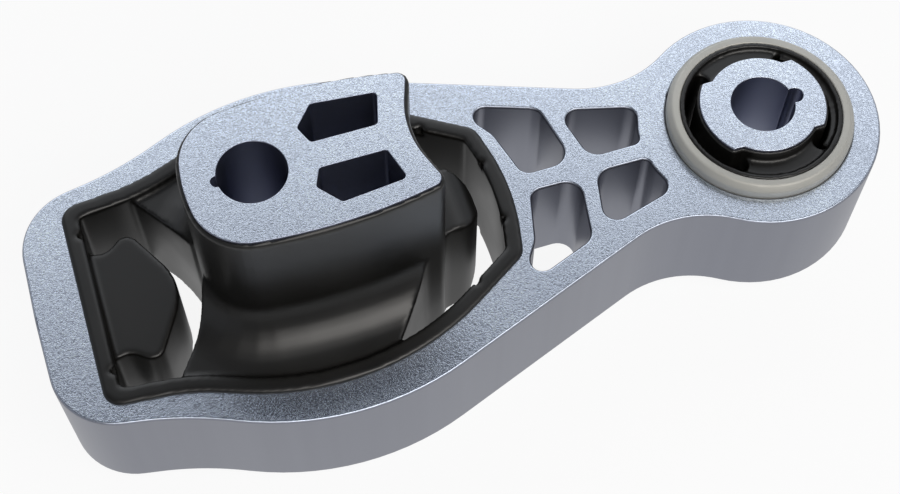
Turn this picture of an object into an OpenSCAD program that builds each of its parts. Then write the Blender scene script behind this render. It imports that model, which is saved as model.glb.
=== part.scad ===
// Link-type transmission mount: a sawn aluminium extrusion that holds a large and a small rubber bush.
// Frame: the origin is on the large bolt axis, at the lower seating face of both cores.
// +X runs along the link towards the small bush, and +Z runs up the bolt axes.

/* [Link body] */
// Thickness of the link body
body_h = 25; // [20:1:30]
// Distance between the two bolt axes
bolt_pitch = 100.5; // [98:0.5:108]
// Outer radius of the small eye
eye_r = 24; // [23:0.5:26]
// Wall beside the window, at the widest place
side_wall = 6.5; // [5.5:0.5:9]
// Wall between the window and the far end
end_wall = 8.4; // [6:0.2:12]
// Radius of the waist between the flank and the small eye
waist_r = 22; // [17:1:24]
// Thickness of the ribs between the pockets
rib_w = 3.8; // [3:0.2:4.6]
// Wall between the pockets and the flank
pocket_wall = 5.4; // [4.6:0.2:6.4]
// Chamfer at the mouths of the small eye
eye_chamfer = 0.4; // [0.2:0.1:0.8]

/* [Window of the large bush] */
// Distance from the large bolt axis to the window's far wall
window_far = 35.7; // [35:0.1:38]
// Distance from the large bolt axis to the window's near wall
window_near = 48.1; // [47.6:0.1:50]
// Half width of the window at its widest place
window_half_w = 29.7; // [29:0.1:32]
// Half width of the window at its far corners
window_corner_w = 21.5; // [21:0.1:22.5]

/* [Large core] */
// Height of the large core
core_h = 60; // [52:1:70]
// How far the lower ends of both cores stand below the link body
core_below = 5; // [3:0.5:8]
// Radius of the large bolt hole
core_bore_r = 6.25; // [5:0.05:6.6]
// Half width of the large core
core_half_w = 14.4; // [14:0.1:15.2]
// Distance from the bolt axis to the core's far end
core_far = 12.2; // [11.8:0.1:12.8]
// Distance from the bolt axis to the core's hollow near end
core_near = 28.4; // [27.8:0.1:29.2]
// Radius of the locating groove in the large bolt hole
core_groove_r = 1.1; // [0.8:0.1:1.4]

/* [Large bush] */
// Thickness of the rubber band that lines the window
band_w = 3.3; // [2.8:0.1:3.8]
// How far the band stands out of the link body
band_proud = 0.6; // [0.3:0.1:1.2]
// Thickness of the rubber skin on the core
skin_w = 0.7; // [0.4:0.1:1]
// How far the skin stops short of the core's ends
skin_short = 0.5; // [0.3:0.1:1.5]
// Depth of the legs' flat zone below the link body's faces
leg_drop = 0.7; // [0.3:0.1:2]
// Radius of the sweep from the legs up the core's walls
leg_sweep_r = 9.6; // [5:0.2:10]
// Height of the same sweep below the legs, where the core is short
leg_sweep_below = 4.6; // [3:0.2:5]
// Depth of the far stop below the link body's faces
far_stop_drop = 2; // [1:0.2:4]
// Reach of the far stop from the band's inner wall
far_stop_reach = 14.5; // [12:0.1:15]
// How far the near stop stands out of the core's hollow end
near_stop_w = 12.8; // [11:0.1:14]
// How far the near stop stands out of the link body's upper face; below, it ends with the core's skin
near_stop_proud = 2.5; // [0:0.5:4]
// Half width of the near stop
near_stop_half_w = 6.6; // [5.6:0.1:7]
// Radius of the near stop's nose, seen from the side
near_stop_r = 6.5; // [3:0.5:9]
// Radius of the vent nicks in the band's inner edges
nick_r = 0.8; // [0.5:0.1:1]
// Depth of the vent nicks
nick_depth = 1.8; // [1:0.2:3]

/* [Small bush] */
// Outer radius of the sleeve pressed into the small eye
sleeve_r = 18.5; // [18:0.1:19.5]
// Wall of the sleeve
sleeve_wall = 2.5; // [1.5:0.1:3]
// How far the sleeve stands out of the link body at each face
sleeve_proud = 3; // [2:0.2:4]
// Thickness of the rubber lining in the sleeve
lining_w = 0.8; // [0.5:0.1:1.2]
// Radius of the small core between its lobes
small_core_r = 10.9; // [10.4:0.1:11.4]
// How far the lobes of the small core stand out
lobe_w = 1.5; // [1:0.1:1.8]
// Half height of the lobes across the link
lobe_half_w = 8; // [6.5:0.1:8.6]
// Radius of the small bolt hole
small_bore_r = 6.25; // [5:0.05:6.6]
// How far the small core stands out of the link body at its upper face
small_core_up = 5; // [3.4:0.2:8]
// Radius of the keyway groove in the small bolt hole
key_r = 1.6; // [1:0.1:1.8]
// Rubber skin on the small core
small_skin_w = 0.4; // [0.3:0.1:0.6]
// Half angle of each straight void beside the small core
void_half_angle = 48; // [40:1:54]
// Depth of the webs below the sleeve's ends
web_drop = 0.9; // [0.6:0.1:2]
// Radial thickness of the stop pad on the lining
pad_w = 1.6; // [1:0.1:1.8]

/* [Hidden] */
$fn = 96;
over = 1;
far_cut = 200;

body_z = core_below;
body_top = body_z + body_h;
eye = [bolt_pitch, 0];
sleeve_bore_r = sleeve_r - sleeve_wall;
sleeve_z = body_z - sleeve_proud;
sleeve_h = body_h + 2 * sleeve_proud;
small_core_h = body_top + small_core_up;

/*
Outlines. A corner is [x, y, r]: the two straight sides beside it meet at x, y, and an arc of radius r
blends them. A ring of corners becomes one closed outline.
*/
function unit(v) = v / norm(v);
function flat(p) = [p[0], p[1]];
function side_turn(a, b) = a[0] * b[1] - a[1] * b[0];

// Points of one rounded corner q between its neighbours p and s, always steps + 1 of them
function corner_arc(p, q, s, steps) =
    let (u = unit(flat(p) - flat(q)), v = unit(flat(s) - flat(q)))
    let (half = acos(u * v) / 2, r = q[2])
    let (mid = flat(q) + unit(u + v) * r / sin(half))
    let (a = flat(q) + u * r / tan(half) - mid)
    let (turn = sign(side_turn(v, u)) * (180 - 2 * half))
    [for (i = [0 : steps]) let (w = turn * i / steps)
        mid + [a[0] * cos(w) - a[1] * sin(w), a[0] * sin(w) + a[1] * cos(w)]];

// Points of the rounded corners inside an open chain, without its two ends
function chain(corners, steps = 10) =
    [for (i = [1 : len(corners) - 2]) each corner_arc(corners[i - 1], corners[i], corners[i + 1], steps)];

function arc(mid, r, from, to, steps) =
    [for (i = [0 : steps]) let (w = from + (to - from) * i / steps) mid + r * [cos(w), sin(w)]];

function angle_of(v) = atan2(v[1], v[0]);
function below(p) = len(p) == 3 ? [p[0], -p[1], p[2]] : [p[0], -p[1]];

function rounded(ring, steps = 10) =
    let (n = len(ring))
    [for (i = [0 : n - 1]) each corner_arc(ring[(i + n - 1) % n], ring[i], ring[(i + 1) % n], steps)];

// The same ring with every side moved inwards by d; rings run anticlockwise, and arcs stay concentric
function inset(ring, d, least_r = 0.6) =
    let (n = len(ring))
    [for (i = [0 : n - 1])
        let (q = flat(ring[i]))
        let (u = unit(q - flat(ring[(i + n - 1) % n])), v = unit(flat(ring[(i + 1) % n]) - q))
        let (nu = [-u[1], u[0]], nv = [-v[1], v[0]])
        let (convex = side_turn(u, v) > 0 ? 1 : -1)
        let (p = q + (nu + nv) * d / (1 + nu * nv))
        [p[0], p[1], max(least_r, ring[i][2] - convex * d)]];

// A ring from the corners of its upper half, given from the near end to the far end; it mirrors about X.
// near and far hold the corner on the X axis at that end, or nothing where a straight side crosses it.
function mirrored(near, half, far = []) =
    concat(near, half, far, [for (i = [len(half) - 1 : -1 : 0]) below(half[i])]);

module plate(points, z0, z1) {
    translate([0, 0, z0]) linear_extrude(z1 - z0) polygon(points);
}

module both_sides() {
    children();
    mirror([0, 1, 0]) children();
}

// Window in the link body, from its near wall round to its far wall
window_ring = mirrored(
    [[window_near + 1.1, 0, 47]],
    [[window_near - 2.1, window_half_w / 2 - 0.1, 4],
     [12.9, window_half_w + 6, 52],
     [-20.3, window_half_w - 6.7, 37],
     [-window_far, window_corner_w, 3.5]]);
band_ring = inset(window_ring, band_w, 1);

// Outer outline of the link body. Straight flanks run from the belly towards the small eye.
flank_end = [bolt_pitch - 35, 18.9];
belly = [6.8, window_half_w + side_wall + 4.4];
flank_dir = unit(flank_end - belly);
flank_out = [-flank_dir[1], flank_dir[0]];
far_corner = [-window_far - end_wall, window_corner_w + 2, 13];
far_bow = [far_corner[0] - 0.5, 0, 120];

// The waist arc touches the flank line and the small eye
waist_row = flank_end + flank_out * waist_r - eye;
waist_along = -(waist_row * flank_dir) - sqrt(pow(waist_row * flank_dir, 2)
    - waist_row * waist_row + pow(eye_r + waist_r, 2));
waist_mid = flank_end + flank_out * waist_r + flank_dir * waist_along;
waist_flank = waist_mid - flank_out * waist_r;
waist_from = angle_of(eye - waist_mid) + 360;
waist_to = angle_of(waist_flank - waist_mid) + 360;
half_link = concat(
    arc(waist_mid, waist_r, waist_from, waist_to, 14),
    chain([waist_flank, [belly[0], belly[1], 56], [-22.6, window_half_w - 2.4, 67], far_corner, far_bow], 14));
eye_reach = waist_from - 180;
link_points = concat(
    [for (i = [1 : 47]) let (w = -eye_reach + 2 * eye_reach * i / 48) eye + eye_r * [cos(w), sin(w)]],
    half_link,
    corner_arc(far_corner, far_bow, below(far_corner), 14),
    [for (i = [len(half_link) - 1 : -1 : 0]) below(half_link[i])]);

// Lightening pockets between the window and the small eye
pocket_reach = eye_r + 0.4;
lean = 0.25;
strut_x = window_near + 0.575 * (bolt_pitch - pocket_reach - window_near);
flank_slope = flank_dir[1] / flank_dir[0];
pocket_lid = flank_end - flank_out * pocket_wall;
function lid_y(x) = pocket_lid[1] + flank_slope * (x - pocket_lid[0]);
function strut_meets_lid(x0) = (lid_y(0) + flank_slope * x0) / (1 + flank_slope * lean);
large_pocket_lid_y = strut_meets_lid(strut_x - rib_w / 2);
small_pocket_lid_y = strut_meets_lid(strut_x + rib_w / 2);
large_pocket = [
    [window_near + rib_w + 0.5, rib_w / 2 + 0.2, 1.2],
    [strut_x - rib_w / 2 - lean * (rib_w / 2 + 0.2), rib_w / 2 + 0.2, 2.3],
    [strut_x - rib_w / 2 - lean * large_pocket_lid_y, large_pocket_lid_y, 1.5],
    [window_near - 5.1, lid_y(window_near - 5.1), 1.7],
    [window_near + 1.7, window_half_w / 2 - 2.2, 7]];
small_pocket = [
    [strut_x + rib_w / 2 - lean * rib_w / 2, rib_w / 2, 1.8],
    [bolt_pitch - pocket_reach, rib_w / 2, 1.2],
    [bolt_pitch - pocket_reach + 0.3, 4.5, 8],
    [bolt_pitch - 22.2, 9.8, 1.8],
    [strut_x + rib_w / 2 - lean * small_pocket_lid_y, small_pocket_lid_y, 1.8]];

// Large core
core_ring = mirrored(
    [[core_near - 1.1, 0, 19]],
    [[core_near + 3, core_half_w - 2.6, 1.6],
     [13.9, core_half_w + 1.2, 96],
     [-core_far + 1.2, core_half_w - 1.7, 10.5]],
    [[-core_far - 0.1, 0, 30]]);
skin_ring = inset(core_ring, -skin_w);
core_pocket = [
    [9.8, 6.3, 0.8],
    [11.3, 2.75, 0.8],
    [core_near - 4.9, 2.75, 0.8],
    [core_near - 3.1, core_half_w - 5.1, 0.8],
    [13.3, core_half_w - 3.9, 0.8]];

// Stops of the large bush
far_stop_x = -window_far + band_w;
far_stop_ring = mirrored(
    [[far_stop_x + far_stop_reach + 1.6, 0, 11]],
    [[far_stop_x + far_stop_reach - 6.6, 14.6, 2.4],
     [far_stop_x + 3.2, 10.9, 3],
     [far_stop_x - 1.6, 11.8, 0.4]]);
near_stop_nose = core_near + near_stop_w;
near_stop_ring = mirrored(
    [[near_stop_nose + 2, 0, 7]],
    [[near_stop_nose - 3.1, near_stop_half_w + 0.1, 4.4],
     [core_near + 5, near_stop_half_w + 0.6, 2.5],
     [core_near - 1, near_stop_half_w + 5.3, 0.4]]);
near_stop_side = [
    [core_near - 6, skin_short, 0.4],
    [near_stop_nose + 0.1, skin_short, near_stop_r + 2],
    [near_stop_nose + 0.1, body_top + near_stop_proud, near_stop_r],
    [core_near - 6, body_top + near_stop_proud, 0.4]];

// Vent nicks on the band's inner edges, on one side of the X axis
nick_spots = [
    [window_near - band_w - 9.3, 17.5],
    [window_near - band_w - 0.5, 6.4],
    [-window_far + band_w - 0.3, 14.8]];

// Plan of one leg: its far end bows in towards the core, and its near end is a straight slant
leg_ring = [
    [core_near + 0.6, core_half_w - 3.3, 0.3],
    [flat(band_ring[2])[0] + 6.2, flat(band_ring[2])[1] - 7.6, 0.3],
    [flat(band_ring[2])[0] + 6.2, window_half_w + 1, 0.3],
    [-window_far + 13, window_half_w + 1, 0.3],
    [-window_far + 14.2, window_corner_w - 2.4, 0.3],
    [-core_far - 3.2, core_half_w - 4, 30],
    [-core_far - skin_w - 0.4, 3.6, 1.5],
    [-core_far + 2, 3.6, 0.3]];

module housing() {
    color([0.79, 0.80, 0.82]) difference() {
        plate(link_points, body_z, body_top);
        plate(rounded(window_ring, 14), body_z - over, body_top + over);
        both_sides() plate(rounded(large_pocket, 8), body_z - over, body_top + over);
        both_sides() plate(rounded(small_pocket, 8), body_z - over, body_top + over);
        translate([eye[0], 0, body_z - over]) cylinder(r = sleeve_r, h = body_h + 2 * over);
        translate([eye[0], 0, body_z - over])
            cylinder(r1 = sleeve_r + eye_chamfer + over, r2 = sleeve_r, h = eye_chamfer + over);
        translate([eye[0], 0, body_top - eye_chamfer])
            cylinder(r1 = sleeve_r, r2 = sleeve_r + eye_chamfer + over, h = eye_chamfer + over);
    }
}

module large_core_solid() {
    plate(rounded(core_ring), 0, core_h);
}

module large_core() {
    color([0.80, 0.81, 0.83]) difference() {
        large_core_solid();
        translate([0, 0, -over]) cylinder(r = core_bore_r, h = core_h + 2 * over);
        translate([-core_bore_r, 0, -over]) cylinder(r = core_groove_r, h = core_h + 2 * over);
        both_sides() plate(rounded(core_pocket, 4), -over, core_h + over);
    }
}

/*
Sweep of the legs: rings of points follow the core's wall at growing distances, and their height falls
along an arc that is tangent to the wall and to the legs' flat zone. The lower side is the same sweep,
pressed flatter.
*/
sweep_steps = 8;
sweep_far = 18;
sweep_gaps = concat(
    [for (i = [0 : sweep_steps]) skin_w * 0.5 + leg_sweep_r * (1 - cos(90 * i / sweep_steps))],
    [sweep_far]);
sweep_rises = concat(
    [for (i = [0 : sweep_steps]) leg_sweep_r * (1 - sin(90 * i / sweep_steps))],
    [0]);
leg_top = body_top - leg_drop;
leg_foot = body_z + leg_drop;

module leg_sweep() {
    rings = [for (gap = sweep_gaps) rounded(inset(core_ring, -gap), 6)];
    count = len(rings[0]);
    levels = len(rings);
    upper = [for (k = [0 : levels - 1]) for (p = rings[k]) [p[0], p[1], leg_top + sweep_rises[k]]];
    lower = [for (k = [levels - 1 : -1 : 0]) for (p = rings[k])
        [p[0], p[1], max(skin_short, leg_foot - sweep_rises[k] * leg_sweep_below / leg_sweep_r)]];
    rows = 2 * levels;
    polyhedron(
        points = concat(upper, lower),
        faces = [for (k = [0 : rows - 1]) for (i = [0 : count - 1])
            let (a = k * count + i, b = k * count + (i + 1) % count)
            let (c = ((k + 1) % rows) * count + (i + 1) % count, d = ((k + 1) % rows) * count + i)
            each [[a, b, c], [a, c, d]]]);
}

module large_bush_rubber() {
    color([0.13, 0.13, 0.12]) difference() {
        union() {
            difference() {
                plate(rounded(window_ring, 14), body_z - band_proud, body_top + band_proud);
                plate(rounded(band_ring, 14), body_z - over - band_proud, body_top + over + band_proud);
            }
            plate(rounded(skin_ring), skin_short, core_h - skin_short);
            plate(rounded(far_stop_ring, 8), body_z + far_stop_drop, body_top - far_stop_drop);
            intersection() {
                plate(rounded(near_stop_ring, 8), -over, core_h);
                rotate([90, 0, 0]) linear_extrude(4 * near_stop_half_w, center = true)
                    polygon(rounded(near_stop_side, 12));
            }
            intersection() {
                leg_sweep();
                both_sides() plate(rounded(leg_ring, 6), -over, core_h);
                plate(rounded(inset(window_ring, band_w / 2), 14), -over, core_h);
            }
        }
        translate([0, 0, -over]) linear_extrude(core_h + 2 * over) polygon(rounded(core_ring));
        for (z = [body_top + band_proud - nick_depth, body_z - band_proud - over]) both_sides()
            for (spot = nick_spots)
                translate([spot[0], spot[1], z]) cylinder(r = nick_r, h = nick_depth + over);
    }
}

module at_eye() {
    translate([eye[0], eye[1], 0]) children();
}

module small_sleeve() {
    break_w = min(1, sleeve_wall * 0.4);
    color([0.68, 0.67, 0.64]) at_eye() rotate_extrude() polygon([
        [sleeve_bore_r, sleeve_z],
        [sleeve_r - break_w, sleeve_z],
        [sleeve_r, sleeve_z + 1.2 * break_w],
        [sleeve_r, sleeve_z + sleeve_h - 1.2 * break_w],
        [sleeve_r - break_w, sleeve_z + sleeve_h],
        [sleeve_bore_r, sleeve_z + sleeve_h]]);
}

// Plan of the small core, or of the rubber skin round it when grown by grow
module small_core_plan(grow = 0) {
    circle(small_core_r + grow);
    intersection() {
        circle(small_core_r + lobe_w + grow);
        square([4 * small_core_r, 2 * (lobe_half_w + grow)], center = true);
    }
}

module small_core() {
    color([0.80, 0.81, 0.83]) at_eye() difference() {
        linear_extrude(small_core_h) small_core_plan();
        translate([0, 0, -over]) cylinder(r = small_bore_r, h = small_core_h + 2 * over);
        translate([small_bore_r + 0.55, 0, -over]) cylinder(r = key_r, h = small_core_h + 2 * over);
    }
}

lining_r = sleeve_bore_r - lining_w;
void_mid_r = (small_core_r + small_skin_w + lining_r) / 2;
void_end_r = (lining_r - small_core_r - small_skin_w) / 2;

// Plan of one void, with round ends
module void_plan() {
    intersection() {
        difference() {
            circle(lining_r);
            small_core_plan(small_skin_w);
        }
        sector(void_half_angle, far_cut);
    }
    for (side = [-1, 1]) rotate(side * void_half_angle) translate([void_mid_r, 0]) circle(void_end_r);
}

// A sector from the small bolt axis, half_angle to each side of +X
module sector(half_angle, reach) {
    polygon([[0, 0], [reach * cos(half_angle), -reach * sin(half_angle)], [reach, 0],
        [reach * cos(half_angle), reach * sin(half_angle)]]);
}

// Plan of the stop pad that lines the void on the far side from the large bush
module pad_plan() {
    intersection() {
        difference() {
            circle(lining_r + lining_w / 2);
            circle(lining_r - pad_w);
        }
        sector(void_half_angle + 3, far_cut);
    }
}

module small_bush_rubber() {
    web_z = sleeve_z + web_drop;
    web_h = sleeve_h - 2 * web_drop;
    color([0.13, 0.13, 0.12]) at_eye() difference() {
        union() {
            translate([0, 0, sleeve_z]) linear_extrude(sleeve_h) difference() {
                circle(sleeve_bore_r);
                circle(lining_r);
            }
            translate([0, 0, web_z]) linear_extrude(web_h) difference() {
                circle(lining_r + lining_w / 2);
                void_plan();
                mirror([1, 0]) void_plan();
            }
            translate([0, 0, web_z]) linear_extrude(web_h) pad_plan();
            translate([0, 0, skin_short]) linear_extrude(small_core_h - 2 * skin_short)
                small_core_plan(small_skin_w);
        }
        translate([0, 0, -over]) linear_extrude(small_core_h + 2 * over) small_core_plan();
    }
}

housing();
large_bush_rubber();
large_core();
small_sleeve();
small_bush_rubber();
small_core();
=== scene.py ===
"""Looks of the transmission mount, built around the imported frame: metal, mouldings, light and camera."""

import math

import bmesh
import bpy
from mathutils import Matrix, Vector


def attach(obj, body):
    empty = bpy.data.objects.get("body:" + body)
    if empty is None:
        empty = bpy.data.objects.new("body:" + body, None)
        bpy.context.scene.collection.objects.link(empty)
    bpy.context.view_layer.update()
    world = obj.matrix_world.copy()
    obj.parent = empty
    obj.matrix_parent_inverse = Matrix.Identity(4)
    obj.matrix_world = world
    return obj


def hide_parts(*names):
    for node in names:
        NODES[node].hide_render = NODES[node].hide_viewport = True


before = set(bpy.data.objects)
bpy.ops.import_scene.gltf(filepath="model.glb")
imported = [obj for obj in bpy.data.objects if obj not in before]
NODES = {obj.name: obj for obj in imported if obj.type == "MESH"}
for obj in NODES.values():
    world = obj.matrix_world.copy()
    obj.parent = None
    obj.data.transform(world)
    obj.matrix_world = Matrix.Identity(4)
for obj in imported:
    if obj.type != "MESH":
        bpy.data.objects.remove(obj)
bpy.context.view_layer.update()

MM = 0.001
SAME_POINT = 1e-6  # corners closer than this, in metres, are one

# Heights on the mount, in millimetres
LINK_LOW, LINK_HIGH = 5, 30
LINK_MID_Z = (LINK_LOW + LINK_HIGH) / 2
LARGE_SKIN_ENDS = (0.5, 59.5)
SMALL_SKIN_ENDS = (0.5, 34.5)
SLEEVE_ENDS = (2, 33)
CUT_LOW, CUT_HIGH = -20, 80  # a cutter passes every face of the mount

# Rounded edges, in millimetres, and the angles that choose them
LINK_EDGE = 0.5
LARGE_CORE_EDGE = 0.3
SMALL_CORE_EDGE = 0.25
SLEEVE_EDGE = 0.35
FLAT_ANGLE = math.radians(0.6)
BEVEL_ANGLE = math.radians(34)
SHARP_ANGLE = math.radians(42)
UPRIGHT = 0.05  # a wall's normal leans no further than this

# Places on the mount, in millimetres: a point on each upright wall that is picked out
EYE_X = 100.5
FLANK_POINT = (-44.5, 0, LINK_MID_Z)
WINDOW_POINT = (-35.7, 0, LINK_MID_Z)
EYE_WALL_POINT = (EYE_X + 18.5, 0, LINK_MID_Z)
CORE_WALL_POINT = (0, -14.4, LINK_MID_Z)
SLEEVE_WALL_POINT = (EYE_X + 16, 0, LINK_MID_Z)
SMALL_CORE_POINT = (EYE_X, -10.9, LINK_MID_Z)

# Vent nicks in the band's inner edges
NICK_SPOTS = ((35.5, 17.5), (44.3, 6.4), (-32.7, 14.8))
NICK_LEVELS = (LINK_HIGH + 0.6, LINK_LOW - 0.6)
NICK_RADIUS = 0.8
NICK_DEPTH = 3.6

# Corners of the pockets on one side of the link: x, y and radius
LARGE_POCKET = ((51.8, 2.1, 2.4), (61.9, 2.1, 3.4), (59.5, 15.4, 3.0), (43.0, 21.6, 2.3), (49.2, 12.5, 7.0))
SMALL_POCKET = ((65.6, 1.9, 3.2), (76.1, 1.9, 1.6), (76.4, 4.5, 9.0), (78.3, 9.8, 2.4), (62.9, 14.1, 2.6))

# Half section of a pocket's cutter: height, and how far it is flared for the rounded edges at both faces
POCKET_FLARE = ((CUT_LOW, LINK_EDGE), (LINK_LOW, LINK_EDGE),
                (LINK_LOW + 0.15, 0.2), (LINK_LOW + LINK_EDGE, 0),
                (LINK_HIGH - LINK_EDGE, 0), (LINK_HIGH - 0.15, 0.2),
                (LINK_HIGH, LINK_EDGE), (CUT_HIGH, LINK_EDGE))
CORNER_STEPS = 8

# Colours, in linear values
FACE_COLOUR = (0.76, 0.83, 0.95, 1)
LINK_SIDE_COLOUR = (0.28, 0.29, 0.335, 1)
CORE_SIDE_COLOUR = (0.3, 0.32, 0.41, 1)
SLEEVE_COLOUR = (0.53, 0.525, 0.487, 1)
RUBBER_COLOUR = (0.005, 0.0046, 0.0038, 1)
FLOOR_COLOUR = (0.85, 0.85, 0.85, 1)
WHITE = (1, 1, 1, 1)
UPPER_SKY = (0.1, 0.105, 0.118, 1)
OVERHEAD_LIGHT = (0.32, 0.335, 0.37, 1)
LOW_LIGHT = (0.42, 0.44, 0.48, 1)
DARK_CARD = (0.008, 0.011, 0.022, 1)
BRIGHT_PANEL = (1.26, 1.3, 1.36, 1)

# The floor's own glow: its strength in reflections, and its share of the floor where it shows
FLOOR_GLOW = 0.8
FLOOR_GLOW_SHARE = 0.9


def mm(*values):
    return Vector(values) * MM


# Camera: where the photograph was taken from
def add_camera():
    data = bpy.data.cameras.new("photo_camera")
    data.lens = 64.89
    data.sensor_width = 36
    data.clip_start = 0.01
    camera = bpy.data.objects.new("photo_camera", data)
    camera.location = mm(-13.62, -148.85, 299.56)
    camera.rotation_euler = [math.radians(a) for a in (28.68, -0.27, -18.01)]
    bpy.context.scene.collection.objects.link(camera)
    bpy.context.scene.camera = camera


# Mesh helpers
def new_object(name, bm):
    mesh = bpy.data.meshes.new(name)
    bm.to_mesh(mesh)
    bm.free()
    piece = bpy.data.objects.new(name, mesh)
    bpy.context.scene.collection.objects.link(piece)
    return piece


def merged_copy(node_name):
    bm = bmesh.new()
    bm.from_mesh(NODES[node_name].data)
    bmesh.ops.remove_doubles(bm, verts=bm.verts, dist=SAME_POINT)
    return bm


def wall_ring(node_name, point):
    """Only the upright wall of a node that runs round through the point."""
    bm = merged_copy(node_name)
    bm.faces.ensure_lookup_table()
    bm.normal_update()
    upright = {f for f in bm.faces if abs(f.normal.z) < UPRIGHT}
    target = mm(*point)
    start = min(upright, key=lambda f: (f.calc_center_median() - target).length)
    ring, front = {start}, [start]
    while front:
        face = front.pop()
        for edge in face.edges:
            for other in edge.link_faces:
                if other in upright and other not in ring:
                    ring.add(other)
                    front.append(other)
    bmesh.ops.delete(bm, geom=[f for f in bm.faces if f not in ring], context="FACES")
    return bm


def set_heights(bm, low, high):
    middle = (min(v.co.z for v in bm.verts) + max(v.co.z for v in bm.verts)) / 2
    for v in bm.verts:
        v.co.z = (high if v.co.z > middle else low) * MM


def prism(name, node_name, point, low=CUT_LOW, high=CUT_HIGH):
    """A filled block whose outline is the wall of a node: a cutter, unless it is given its heights."""
    bm = wall_ring(node_name, point)
    set_heights(bm, low, high)
    bmesh.ops.holes_fill(bm, edges=[e for e in bm.edges if e.is_boundary], sides=0)
    bmesh.ops.triangulate(bm, faces=bm.faces)
    bmesh.ops.recalc_face_normals(bm, faces=bm.faces)
    return new_object(name, bm)


def backing(node_name, point, ends, thickness):
    """A thick wall behind the bonded face of a moulding, so that its thin skin survives the remesh."""
    bm = wall_ring(node_name, point)
    set_heights(bm, *ends)
    bmesh.ops.recalc_face_normals(bm, faces=bm.faces)
    bmesh.ops.solidify(bm, geom=bm.faces[:], thickness=thickness * MM)
    bmesh.ops.recalc_face_normals(bm, faces=bm.faces)
    return bm


def join(bm, other):
    mesh = bpy.data.meshes.new("joined")
    other.to_mesh(mesh)
    other.free()
    bm.from_mesh(mesh)
    bpy.data.meshes.remove(mesh)


def pocket_tool(corners, side):
    """A cutter for one pocket: its flat outline, each corner bevelled to its radius, then extruded."""
    bm = bmesh.new()
    points = [Vector((x, side * y)) for x, y, radius in corners]
    face = bm.faces.new([bm.verts.new(mm(x, y, POCKET_FLARE[0][0])) for x, y in points])
    for i, vert in enumerate(list(face.verts)):
        before, here, after = points[i - 1], points[i], points[(i + 1) % len(points)]
        half_turn = (math.pi - (before - here).angle(after - here)) / 2
        # The profile that makes a round arc at a corner of this angle
        c = math.cos(half_turn)
        arc_profile = ((1 + 2 * c) / (2 + 2 * c)) ** 2
        bmesh.ops.bevel(bm, geom=[vert], offset=corners[i][2] * math.tan(half_turn) * MM,
                        segments=CORNER_STEPS, profile=arc_profile, affect="VERTICES", material=-1)
    top = bm.faces[:]
    for (low, _), (high, _) in zip(POCKET_FLARE, POCKET_FLARE[1:]):
        grown = bmesh.ops.extrude_face_region(bm, geom=top)["geom"]
        if low != CUT_LOW:  # the face left behind would be a wall inside the cutter
            bmesh.ops.delete(bm, geom=top, context="FACES_ONLY")
        top = [g for g in grown if isinstance(g, bmesh.types.BMFace)]
        bmesh.ops.translate(bm, verts=[g for g in grown if isinstance(g, bmesh.types.BMVert)],
                            vec=mm(0, 0, high - low))
    bmesh.ops.recalc_face_normals(bm, faces=bm.faces)
    bm.normal_update()
    outward = {v: Vector((v.normal.x, v.normal.y, 0)).normalized() for v in bm.verts}
    for v, away in outward.items():
        flare = next(f for z, f in POCKET_FLARE if abs(v.co.z - z * MM) < SAME_POINT)
        v.co += away * flare * MM
    bmesh.ops.triangulate(bm, faces=bm.faces)
    bmesh.ops.recalc_face_normals(bm, faces=bm.faces)
    return new_object("pocket_tool", bm)


def apply_modifiers(piece):
    deps = bpy.context.evaluated_depsgraph_get()
    mesh = bpy.data.meshes.new_from_object(piece.evaluated_get(deps))
    old = piece.data
    piece.modifiers.clear()
    piece.data = mesh
    bpy.data.meshes.remove(old)


def cut(piece, operation, tool):
    m = piece.modifiers.new(operation, "BOOLEAN")
    m.operation = operation
    m.object = tool
    m.solver = "MANIFOLD"
    apply_modifiers(piece)
    bpy.data.objects.remove(tool)


def round_edges(node, width, clamp):
    """A small bevel on every sharp edge, in modifiers."""
    weld = node.modifiers.new("weld", "WELD")
    weld.merge_threshold = SAME_POINT
    flat = node.modifiers.new("flat_faces", "DECIMATE")
    flat.decimate_type = "DISSOLVE"
    flat.angle_limit = FLAT_ANGLE
    bevel = node.modifiers.new("edges", "BEVEL")
    bevel.width = width * MM
    bevel.segments = 3
    bevel.limit_method = "ANGLE"
    bevel.angle_limit = BEVEL_ANGLE
    bevel.harden_normals = True
    bevel.use_clamp_overlap = clamp


def even_normals(node):
    normals = node.modifiers.new("normals", "WEIGHTED_NORMAL")
    normals.keep_sharp = True


def link_body():
    """The link body, with the well rounded pockets that the photograph shows."""
    piece = prism("link_body", "housing", FLANK_POINT, LINK_LOW, LINK_HIGH)
    cut(piece, "DIFFERENCE", prism("eye_opening", "housing", EYE_WALL_POINT))
    round_edges(piece, LINK_EDGE, clamp=False)
    apply_modifiers(piece)
    for corners in (LARGE_POCKET, SMALL_POCKET):
        for side in (-1, 1):
            cut(piece, "DIFFERENCE", pocket_tool(corners, side))
    cut(piece, "DIFFERENCE", prism("window_opening", "housing", WINDOW_POINT))
    bm = bmesh.new()
    bm.from_mesh(piece.data)
    for face in bm.faces:
        face.smooth = True
    for edge in bm.edges:
        edge.smooth = edge.calc_face_angle(0) < SHARP_ANGLE
    bm.to_mesh(piece.data)
    bm.free()
    even_normals(piece)
    return piece


def nick_tools():
    """Small round cutters on the inner edges of the band, at both faces and both sides."""
    bm = bmesh.new()
    for x, y in NICK_SPOTS:
        for side in (-1, 1):
            for z in NICK_LEVELS:
                made = bmesh.ops.create_cone(bm, cap_ends=True, segments=12, radius1=NICK_RADIUS * MM,
                                             radius2=NICK_RADIUS * MM, depth=NICK_DEPTH * MM)
                bmesh.ops.translate(bm, verts=made["verts"], vec=mm(x, side * y, z))
    return new_object("nick_tools", bm)


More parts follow.
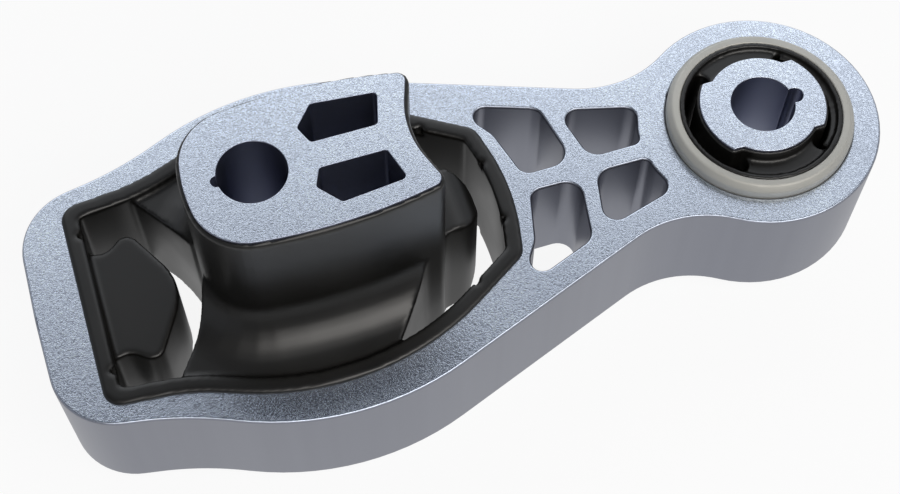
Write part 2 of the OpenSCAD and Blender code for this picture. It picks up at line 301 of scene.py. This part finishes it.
def moulding(name, node_name, backings, voxel, rounds):
    """A rubber moulding with soft edges, from its CAD solid."""
    bm = merged_copy(node_name)
    for b in backings:
        join(bm, b)
    piece = new_object(name, bm)
    m = piece.modifiers.new("remesh", "REMESH")
    m.mode = "VOXEL"
    m.voxel_size = voxel * MM
    m.use_smooth_shade = True
    s = piece.modifiers.new("soften", "SMOOTH")
    s.factor = 0.5
    s.iterations = rounds
    apply_modifiers(piece)
    return piece


def large_moulding():
    piece = moulding("large_bush_moulding", "large_bush_rubber",
                     [backing("housing", WINDOW_POINT, (LINK_LOW, LINK_HIGH), thickness=1.6),
                      backing("large_core", CORE_WALL_POINT, LARGE_SKIN_ENDS, thickness=1.6)],
                     voxel=0.505, rounds=2)
    cut(piece, "INTERSECT", prism("window_tool", "housing", WINDOW_POINT))
    cut(piece, "DIFFERENCE", prism("core_tool", "large_core", CORE_WALL_POINT))
    cut(piece, "DIFFERENCE", nick_tools())
    return piece


def small_moulding():
    piece = moulding("small_bush_moulding", "small_bush_rubber",
                     [backing("small_sleeve", SLEEVE_WALL_POINT, SLEEVE_ENDS, thickness=1.0),
                      backing("small_core", SMALL_CORE_POINT, SMALL_SKIN_ENDS, thickness=1.0)],
                     voxel=0.34, rounds=2)
    cut(piece, "INTERSECT", prism("sleeve_tool", "small_sleeve", SLEEVE_WALL_POINT))
    cut(piece, "DIFFERENCE", prism("small_core_tool", "small_core", SMALL_CORE_POINT))
    return piece


# Shader helpers
class Shader:
    """Adds nodes to a material or a group and joins them."""

    def __init__(self, tree):
        self.tree = tree

    def node(self, kind, **settings):
        n = self.tree.nodes.new(kind)
        for key, value in settings.items():
            setattr(n, key, value)
        return n

    def feed(self, socket, value):
        if isinstance(value, bpy.types.NodeSocket):
            self.tree.links.new(value, socket)
        else:
            socket.default_value = value

    def math(self, operation, a, b=0.0):
        n = self.node("ShaderNodeMath", operation=operation)
        self.feed(n.inputs[0], a)
        self.feed(n.inputs[1], b)
        return n.outputs[0]

    def times(self, *values):
        product = values[0]
        for value in values[1:]:
            product = self.math("MULTIPLY", product, value)
        return product

    def noise(self, vector, scale, detail=2.0, roughness=0.5, distortion=0.0):
        n = self.node("ShaderNodeTexNoise")
        self.feed(n.inputs["Vector"], vector)
        self.feed(n.inputs["Scale"], scale)
        n.inputs["Detail"].default_value = detail
        n.inputs["Roughness"].default_value = roughness
        n.inputs["Distortion"].default_value = distortion
        return n.outputs["Fac"]

    def stretched(self, vector, scale):
        n = self.node("ShaderNodeMapping", vector_type="POINT")
        self.feed(n.inputs["Vector"], vector)
        n.inputs["Scale"].default_value = scale
        return n.outputs["Vector"]

    def spread(self, value, low, high, to_low=0.0, to_high=1.0):
        n = self.node("ShaderNodeMapRange", clamp=True)
        self.feed(n.inputs["Value"], value)
        self.feed(n.inputs["From Min"], low)
        self.feed(n.inputs["From Max"], high)
        self.feed(n.inputs["To Min"], to_low)
        self.feed(n.inputs["To Max"], to_high)
        return n.outputs["Result"]

    def mix(self, factor, a, b, blend="MIX"):
        n = self.node("ShaderNodeMix", data_type="RGBA", blend_type=blend)
        self.feed(n.inputs[0], factor)
        self.feed(n.inputs[6], a)
        self.feed(n.inputs[7], b)
        return n.outputs[2]

    def toned(self, colour, tone):
        return self.mix(1.0, colour, tone, "MULTIPLY")

    def bump(self, height, strength, distance):
        n = self.node("ShaderNodeBump")
        n.inputs["Strength"].default_value = strength
        n.inputs["Distance"].default_value = distance
        self.feed(n.inputs["Height"], height)
        return n.outputs["Normal"]

    def group(self, tree, **values):
        n = self.node("ShaderNodeGroup", node_tree=tree)
        for socket, value in values.items():
            self.feed(n.inputs[socket], value)
        return n.outputs


# Effects that more than one material uses
def new_group(name, inputs, outputs):
    tree = bpy.data.node_groups.new(name, "ShaderNodeTree")
    for in_out, sockets in (("INPUT", inputs), ("OUTPUT", outputs)):
        for socket, kind in sockets.items():
            tree.interface.new_socket(name=socket, in_out=in_out, socket_type="NodeSocket" + kind)
    sh = Shader(tree)
    return tree, sh, sh.node("NodeGroupInput").outputs, sh.node("NodeGroupOutput").inputs


def face_mask():
    """1 on faces across the extrusion, 0 on its drawn sides."""
    tree, sh, given, out = new_group("face_mask", {"Normal": "Vector"}, {"Mask": "Float"})
    split = sh.node("ShaderNodeSeparateXYZ")
    sh.feed(split.inputs[0], given["Normal"])
    sh.feed(out["Mask"], sh.spread(sh.math("ABSOLUTE", split.outputs["Z"]), 0.75, 0.95))
    return tree


def blasted_grain():
    """Fine ridges and specks of a blasted face."""
    tree, sh, given, out = new_group("blasted_grain", {"Vector": "Vector"},
                                     {"Tone": "Float", "Height": "Float"})
    grain = sh.noise(given["Vector"], scale=1750, detail=1.5, roughness=0.55, distortion=1.2)
    ridge = sh.spread(sh.math("ABSOLUTE", sh.math("SUBTRACT", grain, 0.5)), 0.0, 0.1)
    speck = sh.noise(given["Vector"], scale=3200, detail=1)
    ridge_tone = sh.spread(ridge, 0, 1, to_low=0.7, to_high=1.06)
    speck_tone = sh.spread(speck, 0.3, 0.7, to_low=0.88, to_high=1.12)
    sh.feed(out["Tone"], sh.times(ridge_tone, speck_tone))
    sh.feed(out["Height"], sh.math("ADD", ridge, sh.times(speck, 0.8)))
    return tree


def drawn_streak():
    """Faint lines that run along the extrusion."""
    tree, sh, given, out = new_group("drawn_streak", {"Vector": "Vector"},
                                     {"Tone": "Float", "Height": "Float"})
    streak = sh.noise(sh.stretched(given["Vector"], (1, 1, 0.02)), scale=260)
    sh.feed(out["Tone"], sh.spread(streak, 0.3, 0.7, to_low=0.98, to_high=1.02))
    sh.feed(out["Height"], sh.times(streak, 0.05))
    return tree


def uneven_tone():
    """Soft wide spots, between a darkest and a lightest tone."""
    tree, sh, given, out = new_group("uneven_tone",
                                     {"Vector": "Vector", "Scale": "Float", "Darkest": "Float",
                                      "Lightest": "Float"},
                                     {"Tone": "Float", "Spot": "Float"})
    spot = sh.spread(sh.noise(given["Vector"], given["Scale"]), 0.3, 0.7)
    sh.feed(out["Tone"], sh.spread(spot, 0, 1, given["Darkest"], given["Lightest"]))
    sh.feed(out["Spot"], spot)
    return tree


def new_material(name):
    material = bpy.data.materials.new(name)
    material.use_nodes = True
    tree = material.node_tree
    tree.nodes.clear()
    sh = Shader(tree)
    out = sh.node("ShaderNodeOutputMaterial")
    surface = sh.node("ShaderNodeBsdfPrincipled")
    tree.links.new(surface.outputs["BSDF"], out.inputs["Surface"])
    return material, sh, surface


def aluminium(name, side_colour):
    """Blasted grain on faces across the extrusion, drawn satin on its sides."""
    material, sh, surface = new_material(name)
    coords = sh.node("ShaderNodeTexCoord").outputs
    place = coords["Object"]
    face = sh.group(FACE_MASK, Normal=coords["Normal"])["Mask"]
    grain = sh.group(BLASTED_GRAIN, Vector=place)
    streak = sh.group(DRAWN_STREAK, Vector=place)
    cloud = sh.group(UNEVEN_TONE, Vector=place, Scale=45, Darkest=0.95, Lightest=1.05)
    blasted = sh.toned(sh.toned(FACE_COLOUR, grain["Tone"]), cloud["Tone"])
    drawn = sh.toned(side_colour, streak["Tone"])
    sh.feed(surface.inputs["Base Color"], sh.mix(face, drawn, blasted))
    sh.feed(surface.inputs["Roughness"], sh.spread(face, 0, 1, to_low=0.36, to_high=0.27))
    surface.inputs["Metallic"].default_value = 1.0
    height = sh.mix(face, streak["Height"], grain["Height"])
    sh.feed(surface.inputs["Normal"], sh.bump(height, strength=1.0, distance=0.000011))
    return material


def moulded_rubber():
    """Satin black, a little glossier than plain rubber, with a fine mould texture."""
    material, sh, surface = new_material("moulded_rubber")
    surface.inputs["Specular IOR Level"].default_value = 0.6
    place = sh.node("ShaderNodeTexCoord").outputs["Object"]
    fine = sh.noise(place, scale=1500)
    cloud = sh.group(UNEVEN_TONE, Vector=place, Scale=60, Darkest=0.85, Lightest=1.2)
    sh.feed(surface.inputs["Base Color"], sh.toned(RUBBER_COLOUR, cloud["Tone"]))
    sh.feed(surface.inputs["Roughness"], sh.spread(cloud["Spot"], 0, 1, to_low=0.34, to_high=0.43))
    sh.feed(surface.inputs["Normal"], sh.bump(fine, strength=0.12, distance=0.00003))
    return material


def turned_metal():
    """Plain turned sleeve, dull and slightly warm, with fine turning marks."""
    material, sh, surface = new_material("sleeve_aluminium")
    place = sh.node("ShaderNodeTexCoord").outputs["Object"]
    fine = sh.noise(sh.stretched(place, (1, 1, 6)), scale=350)
    cloud = sh.group(UNEVEN_TONE, Vector=place, Scale=40, Darkest=0.93, Lightest=1.06)
    sh.feed(surface.inputs["Base Color"], sh.toned(SLEEVE_COLOUR, cloud["Tone"]))
    surface.inputs["Metallic"].default_value = 0.6
    sh.feed(surface.inputs["Roughness"], sh.spread(fine, 0.3, 0.7, to_low=0.56, to_high=0.65))
    sh.feed(surface.inputs["Normal"], sh.bump(fine, strength=0.1, distance=0.00003))
    return material


def set_material(piece, material):
    piece.data.materials.clear()
    piece.data.materials.append(material)


# Stage
def floor_material():
    """Pale and matt; white to the camera, and still showing the mount's shadow."""
    material, sh, surface = new_material("pale_floor")
    surface.inputs["Base Color"].default_value = FLOOR_COLOUR
    surface.inputs["Roughness"].default_value = 0.9
    ray = sh.node("ShaderNodeLightPath")
    glow = sh.node("ShaderNodeEmission")
    glow.inputs["Color"].default_value = WHITE
    blend = sh.node("ShaderNodeMixShader")
    sh.feed(glow.inputs["Strength"], sh.math("MAXIMUM", ray.outputs["Is Camera Ray"], FLOOR_GLOW))
    direct = sh.math("MAXIMUM", ray.outputs["Is Camera Ray"], ray.outputs["Is Transmission Ray"])
    seen = sh.times(sh.math("MAXIMUM", direct, ray.outputs["Is Glossy Ray"]), FLOOR_GLOW_SHARE)
    sh.feed(blend.inputs[0], seen)
    sh.feed(blend.inputs[1], surface.outputs["BSDF"])
    sh.feed(blend.inputs[2], glow.outputs[0])
    out = next(n for n in material.node_tree.nodes if n.type == "OUTPUT_MATERIAL")
    sh.feed(out.inputs["Surface"], blend.outputs[0])
    return material


def add_floor():
    bm = bmesh.new()
    bmesh.ops.create_grid(bm, x_segments=1, y_segments=1, size=3)
    floor = new_object("floor", bm)
    set_material(floor, floor_material())


def add_lamp(name, place, target, size, power, colour=(1, 1, 1)):
    data = bpy.data.lights.new(name, "AREA")
    data.shape = "RECTANGLE"
    data.size, data.size_y = size
    data.energy = power
    data.color = colour
    lamp = bpy.data.objects.new(name, data)
    lamp.location = place
    lamp.rotation_euler = (Vector(target) - Vector(place)).to_track_quat("-Z", "Y").to_euler()
    bpy.context.scene.collection.objects.link(lamp)
    return lamp


def add_world():
    """A soft sky: a bright panel behind the mount with a dark card over it, light low down and overhead."""
    world = bpy.data.worlds.new("studio")
    bpy.context.scene.world = world
    world.use_nodes = True
    sh = Shader(world.node_tree)
    world.node_tree.nodes.clear()
    out = sh.node("ShaderNodeOutputWorld")
    background = sh.node("ShaderNodeBackground")
    coords = sh.node("ShaderNodeTexCoord")
    split = sh.node("ShaderNodeSeparateXYZ")
    sh.feed(split.inputs[0], coords.outputs["Generated"])
    x, y, z = split.outputs["X"], split.outputs["Y"], split.outputs["Z"]
    panel = sh.times(sh.spread(x, -0.42, -0.22), sh.spread(x, 0.72, 0.58),
                     sh.spread(y, -0.1, 0.35), sh.spread(z, 0.856, 0.836))
    card = sh.times(sh.spread(x, -0.6, -0.4), sh.spread(x, 0.9, 0.75),
                    sh.spread(y, 0.05, 0.2), sh.spread(z, 0.7, 0.8))
    low_down = sh.times(sh.spread(z, 0.62, 0.5), sh.spread(y, -0.75, -0.45))
    overhead = sh.spread(z, 0.965, 0.99)
    sky = sh.mix(overhead, UPPER_SKY, OVERHEAD_LIGHT)
    sky = sh.mix(low_down, sky, LOW_LIGHT)
    sky = sh.mix(card, sky, DARK_CARD)
    sky = sh.mix(panel, sky, BRIGHT_PANEL)
    ray = sh.node("ShaderNodeLightPath")
    sh.feed(background.inputs["Color"], sh.mix(ray.outputs["Is Camera Ray"], sky, WHITE))
    sh.feed(out.inputs["Surface"], background.outputs[0])


def light_only(lamp, pieces):
    lit = bpy.data.collections.new("lit_by_" + lamp.name)
    for piece in pieces:
        lit.objects.link(piece)
    lamp.light_linking.receiver_collection = lit


# The scene
bpy.context.scene.view_settings.view_transform = "Standard"
add_camera()
add_floor()
add_world()
# The edge and low lamps light the link body and the large core alone, and the front lamp all the rest
edge_box = add_lamp("edge_box", place=(0.15, -0.6, 0.68), target=(0.05, 0, 0.02), size=(1.3, 0.5), power=5.2)
low_box = add_lamp("low_box", place=(0.05, -1.3, 0.36), target=(0.04, 0, 0.02), size=(2.6, 0.6), power=2.6)
front_box = add_lamp("front_box", place=(0.16, -0.42, 0.62), target=(0.04, 0, 0.02), size=(0.6, 0.45),
                     power=3.6, colour=(1, 0.97, 0.93))

FACE_MASK = face_mask()
BLASTED_GRAIN = blasted_grain()
DRAWN_STREAK = drawn_streak()
UNEVEN_TONE = uneven_tone()
link_metal = aluminium("sawn_aluminium", LINK_SIDE_COLOUR)
core_metal = aluminium("core_aluminium", CORE_SIDE_COLOUR)
sleeve_metal = turned_metal()
bush_rubber = moulded_rubber()

# CAD nodes that stay, with rounded edges
for name, metal, width in (("large_core", core_metal, LARGE_CORE_EDGE),
                           ("small_core", core_metal, SMALL_CORE_EDGE),
                           ("small_sleeve", sleeve_metal, SLEEVE_EDGE)):
    for polygon in NODES[name].data.polygons:
        polygon.use_smooth = True
    round_edges(NODES[name], width, clamp=True)
    even_normals(NODES[name])
    set_material(NODES[name], metal)

# Pieces that stand for a CAD node
for make, node_name, slot, look in ((link_body, "housing", "extruded_aluminium", link_metal),
                                    (large_moulding, "large_bush_rubber", "large_rubber", bush_rubber),
                                    (small_moulding, "small_bush_rubber", "small_rubber", bush_rubber)):
    piece = make()
    set_material(piece, look)
    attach(piece, "root")
    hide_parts(node_name)

large_metal = [bpy.data.objects["link_body"], NODES["large_core"]]
all_the_rest = [o for o in bpy.context.scene.objects if o.type == "MESH" and o not in large_metal]
light_only(front_box, all_the_rest)
light_only(edge_box, large_metal)
light_only(low_box, large_metal)
